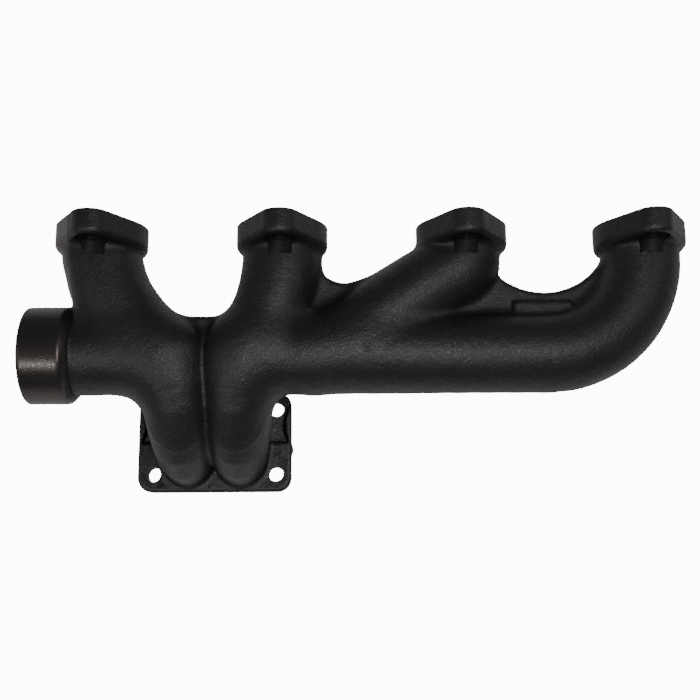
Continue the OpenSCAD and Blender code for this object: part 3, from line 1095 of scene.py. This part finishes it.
class MANIFOLD_OT_machine(bpy.types.Operator):
    """Face the flanges, bore the slip socket and drill the stud and bolt holes"""

    bl_idname = "manifold.machine"
    bl_label = "Machine the Iron"

    def execute(self, context):
        whole = bpy.data.objects[WHOLE]
        past = 20.0
        low, high = np.array(CAD_BOX[0]) / MM - 30, np.array(CAD_BOX[1]) / MM + 30
        studs_x, across_ports, across_x = (PORTS[0][0] + PORTS[3][0]) / 2, (90, 0, 0), (0, 90, 0)
        stud_gap, stud_span = STUDS["spacing_y_mm"], 3 * PORT_PITCH
        spot_length = SPOT_FACE_REACH + SPOT_FACE_SINK
        spot_y = FLANGE_BACK_Y - SPOT_FACE_REACH + spot_length / 2
        bolt_x, bolt_y = TURBO_BOLTS["spacing_x_mm"], TURBO_BOLTS["spacing_y_mm"]
        bore_x = SOCKET_LOW[0] + SLIP["length_mm"] / 2 - past / 2
        tools = [
            block("port faces", (low[0], PORT_FACE_Y, low[2]), (high[0], high[1] + past, high[2])),
            block("turbo face", low, (high[0], high[1], 0)),
            block("socket face", low, (SOCKET_LOW[0], high[1], high[2])),
            drills("stud holes", 4, 2, stud_span, stud_gap, STUDS["hole_r_mm"], 80,
                   (studs_x, FLANGE_BACK_Y, AXIS_Z), across_ports),
            drills("spot faces", 4, 2, stud_span, stud_gap, SPOT_FACE_R, spot_length,
                   (studs_x, spot_y, AXIS_Z), across_ports, 64),
            drills("bolt holes", 2, 2, bolt_x, bolt_y, TURBO_BOLTS["hole_r_mm"], 60, (0, 0, TURBO_T / 2)),
            drills("slip bore", 1, 1, 1, 1, SLIP["r_mm"], SLIP["length_mm"] + past,
                   (bore_x, LOG_Y, AXIS_Z), across_x, 96),
        ]
        for tool in tools:
            if not tool.data.materials:
                tool.data.materials.append(worked_iron())
            boolean(whole, tool, "DIFFERENCE")
        return {"FINISHED"}


class PieceOperator:
    """What the operators that divide the casting share."""

    nodes = ()

    def execute(self, context):
        for node in self.nodes:
            part_of_casting(node)
        return {"FINISHED"}


class MANIFOLD_OT_port_flanges(PieceOperator, bpy.types.Operator):
    """Part the four port flanges from the casting"""

    bl_idname = "manifold.port_flanges"
    bl_label = "Port Flanges"
    nodes = ("port_flange_1", "port_flange_2", "port_flange_3", "port_flange_4")


class MANIFOLD_OT_runners(PieceOperator, bpy.types.Operator):
    """Part the four runners from the casting"""

    bl_idname = "manifold.runners"
    bl_label = "Runners"
    nodes = ("runner_1", "runner_2", "runner_3", "runner_4")


class MANIFOLD_OT_log(PieceOperator, bpy.types.Operator):
    """Part the two halves of the log and the socket's neck from the casting"""

    bl_idname = "manifold.log"
    bl_label = "Log"
    nodes = ("socket_neck", "front_log", "rear_log")


class MANIFOLD_OT_socket(PieceOperator, bpy.types.Operator):
    """Part the slip socket from the casting"""

    bl_idname = "manifold.socket"
    bl_label = "Slip Socket"
    nodes = ("slip_socket",)


class MANIFOLD_OT_risers(PieceOperator, bpy.types.Operator):
    """Part the twin risers and the wall between them from the casting"""

    bl_idname = "manifold.risers"
    bl_label = "Risers"
    nodes = ("front_riser", "rear_riser", "divider_wall")


class MANIFOLD_OT_turbo_flange(PieceOperator, bpy.types.Operator):
    """Part the turbocharger flange from the casting"""

    bl_idname = "manifold.turbo_flange"
    bl_label = "Turbocharger Flange"
    nodes = ("turbo_flange",)


class MANIFOLD_OT_webs(PieceOperator, bpy.types.Operator):
    """Part the stiffening webs and the flat pad from the casting"""

    bl_idname = "manifold.webs"
    bl_label = "Webs"
    nodes = ("web_2_3", "web_3_4", "web_pad")


class MANIFOLD_OT_clear(bpy.types.Operator):
    """Remove the whole casting once its pieces are parted"""

    bl_idname = "manifold.clear"
    bl_label = "Remove the Whole Casting"

    def execute(self, context):
        bpy.data.objects.remove(bpy.data.objects[WHOLE])
        return {"FINISHED"}


STEPS = (
    MANIFOLD_OT_stage, MANIFOLD_OT_pour, MANIFOLD_OT_mark, MANIFOLD_OT_machine,
    MANIFOLD_OT_port_flanges, MANIFOLD_OT_runners, MANIFOLD_OT_log, MANIFOLD_OT_socket,
    MANIFOLD_OT_risers, MANIFOLD_OT_turbo_flange, MANIFOLD_OT_webs, MANIFOLD_OT_clear,
)


class MANIFOLD_PT_panel(bpy.types.Panel):
    """Sidebar panel with the settings and the steps in order"""

    bl_idname = "MANIFOLD_PT_panel"
    bl_label = "Exhaust Manifold"
    bl_space_type = "VIEW_3D"
    bl_region_type = "UI"
    bl_category = "Manifold"

    def draw(self, context):
        scene = context.scene
        for group in (scene.manifold_casting, scene.manifold_finish, scene.manifold_stage):
            box = self.layout.box()
            for key in group.__annotations__:
                box.prop(group, key)
        for step in STEPS:
            self.layout.operator(step.bl_idname)


GROUPS = {
    "manifold_casting": ManifoldCasting,
    "manifold_finish": ManifoldFinish,
    "manifold_stage": ManifoldStage,
}
CLASSES = (*GROUPS.values(), *STEPS, MANIFOLD_PT_panel)


def register():
    for cls in CLASSES:
        bpy.utils.register_class(cls)
    for name, cls in GROUPS.items():
        setattr(bpy.types.Scene, name, PointerProperty(type=cls))


def unregister():
    for name in GROUPS:
        delattr(bpy.types.Scene, name)
    for cls in reversed(CLASSES):
        bpy.utils.unregister_class(cls)


def main():
    """Registers the add-on and makes every piece."""
    register()
    for step in STEPS:
        group, name = step.bl_idname.split(".")
        getattr(getattr(bpy.ops, group), name)()


if __name__ == "__main__":
    main()
